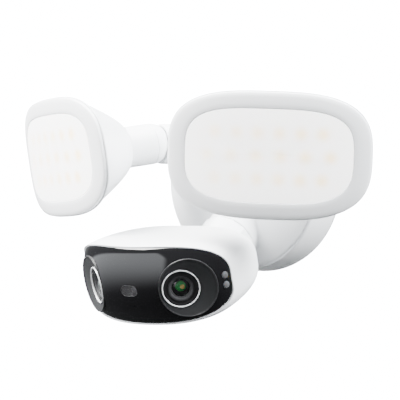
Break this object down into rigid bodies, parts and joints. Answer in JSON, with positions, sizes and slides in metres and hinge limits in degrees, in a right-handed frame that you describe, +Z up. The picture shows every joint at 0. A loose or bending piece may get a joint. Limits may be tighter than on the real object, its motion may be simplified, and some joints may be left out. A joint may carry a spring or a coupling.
{
  "type": "floodlight security camera",
  "caption": "Wall-mounted smart floodlight camera: round base, lamp heads on ball joints either side, and a wide twin-lens camera head on a ball joint with a lock collar.",
  "frame": {"origin": "centre of the base's back, on the wall plane, between the two junction-box slots", "axes": "+X to the right seen from the front, -Y straight out from the wall, +Z up"},
  "size_m": [0.2984, 0.1727, 0.1642],
  "materials": {
    "white_plastic": "fine-textured white moulding",
    "lamp_metal": "white powder coat on die-cast aluminium",
    "opal_window": "opal diffusing polycarbonate",
    "gloss_black": "polished black, infrared-clear plastic",
    "satin_black": "satin black",
    "bright_ring": "bright turned ring",
    "lens_glass": "coated lens glass",
    "smoked_window": "smoked clear plastic",
    "sensor_lens": "grey translucent sensor dome",
    "spotlight_lens": "grey translucent emitter dome",
    "grey_plastic": "light grey moulding",
    "rubber_seal": "black silicone rubber",
    "nylon": "natural nylon",
    "steel": "zinc-plated steel",
    "aluminium": "bare extruded aluminium",
    "circuit_board": "green solder mask",
    "led_board": "white-coated aluminium board with yellow emitters",
    "reflector_white": "white reflector moulding",
    "component_black": "moulded component cases",
    "terminal_plastic": "off-white terminal block"
  },
  "bodies": {
    "base": {"wall_bracket": "steel", "base_gasket": "rubber_seal", "base_body": "white_plastic", "base_front_cover": "white_plastic", "cover_screws": "steel", "bracket_screws": "steel", "cable_grommet": "rubber_seal", "terminal_block": "terminal_plastic", "driver_board": "circuit_board", "driver_parts": "component_black", "camera_socket": "white_plastic"},
    "collar": {"lock_collar": "white_plastic"},
    "camera_seat": {"camera_ball_seat": "nylon"},
    "camera": {"camera_ball_stem": "white_plastic", "camera_housing": "white_plastic", "camera_face": "gloss_black", "camera_screws": "steel", "main_board": "circuit_board", "camera_heat_sink": "aluminium", "antenna_boards": "circuit_board", "speaker": "component_black", "microphone": "steel", "status_window": "smoked_window", "light_sensor": "sensor_lens", "spotlight_leds": "spotlight_lens", "memory_card_slot": "steel", "lens_dish_right": "satin_black", "lens_ring_right": "bright_ring", "lens_barrel_right": "satin_black", "lens_glass_right": "lens_glass", "lens_dish_left": "satin_black", "lens_ring_left": "bright_ring", "lens_barrel_left": "satin_black", "lens_glass_left": "lens_glass", "sensor_board_right": "circuit_board", "sensor_board_left": "circuit_board"},
    "card_door": {"memory_card_cover": "white_plastic"},
    "reset": {"reset_button": "grey_plastic"},
    "lamp_stud_right": {"ball_stud_right": "steel"},
    "lamp_seat_right": {"ball_seat_right": "nylon"},
    "lamp_right": {"lamp_shell_right": "lamp_metal", "lamp_bezel_right": "white_plastic", "lamp_window_right": "opal_window", "window_seal_right": "rubber_seal", "reflector_right": "reflector_white", "led_board_right": "led_board", "lamp_heat_sink_right": "aluminium", "lamp_neck_right": "lamp_metal", "neck_cap_right": "lamp_metal"},
    "lamp_stud_left": {"ball_stud_left": "steel"},
    "lamp_seat_left": {"ball_seat_left": "nylon"},
    "lamp_left": {"lamp_shell_left": "lamp_metal", "lamp_bezel_left": "white_plastic", "lamp_window_left": "opal_window", "window_seal_left": "rubber_seal", "reflector_left": "reflector_white", "led_board_left": "led_board", "lamp_heat_sink_left": "aluminium", "lamp_neck_left": "lamp_metal", "neck_cap_left": "lamp_metal"}
  },
  "joints": [
    {"name": "collar_turn", "type": "hinge", "parent": "base", "child": "collar", "pos_m": [0, -0.059, -0.049], "axis": [0, -0.8191, -0.5736], "range_deg": [0, 120]},
    {"name": "camera_pan", "type": "hinge", "parent": "base", "child": "camera_seat", "pos_m": [0, -0.059, -0.049], "axis": [0, 0, 1], "range_deg": [-25, 25]},
    {"name": "camera_tilt", "type": "hinge", "parent": "camera_seat", "child": "camera", "pos_m": [0, -0.059, -0.049], "axis": [-1, 0, 0], "range_deg": [-45, 4]},
    {"name": "lamp_right_roll", "type": "hinge", "parent": "base", "child": "lamp_stud_right", "pos_m": [0.056, -0.069, 0.0285], "axis": [-0.4226, 0.9063, 0], "range_deg": [-5, 15]},
    {"name": "lamp_right_pan", "type": "hinge", "parent": "lamp_stud_right", "child": "lamp_seat_right", "pos_m": [0.056, -0.069, 0.0285], "axis": [0, 0, 1], "range_deg": [-15, 20]},
    {"name": "lamp_right_tilt", "type": "hinge", "parent": "lamp_seat_right", "child": "lamp_right", "pos_m": [0.056, -0.069, 0.0285], "axis": [-0.887, -0.4618, 0], "range_deg": [-6, 30]},
    {"name": "lamp_left_roll", "type": "hinge", "parent": "base", "child": "lamp_stud_left", "pos_m": [-0.056, -0.069, 0.0285], "axis": [-0.4226, -0.9063, 0], "range_deg": [-5, 15]},
    {"name": "lamp_left_pan", "type": "hinge", "parent": "lamp_stud_left", "child": "lamp_seat_left", "pos_m": [-0.056, -0.069, 0.0285], "axis": [0, 0, -1], "range_deg": [-15, 20]},
    {"name": "lamp_left_tilt", "type": "hinge", "parent": "lamp_seat_left", "child": "lamp_left", "pos_m": [-0.056, -0.069, 0.0285], "axis": [-0.887, 0.4618, 0], "range_deg": [-6, 30]},
    {"name": "card_door_hinge", "type": "hinge", "parent": "camera", "child": "card_door", "pos_m": [0.006, -0.11536, -0.08599], "axis": [1, 0, 0], "range_deg": [0, 90]},
    {"name": "reset_press", "type": "slide", "parent": "camera", "child": "reset", "axis": [0, -0.2588, 0.9659], "range_m": [0, 0.0006], "stiffness_N_per_m": 500, "springref_m": -0.0005}
  ]
}
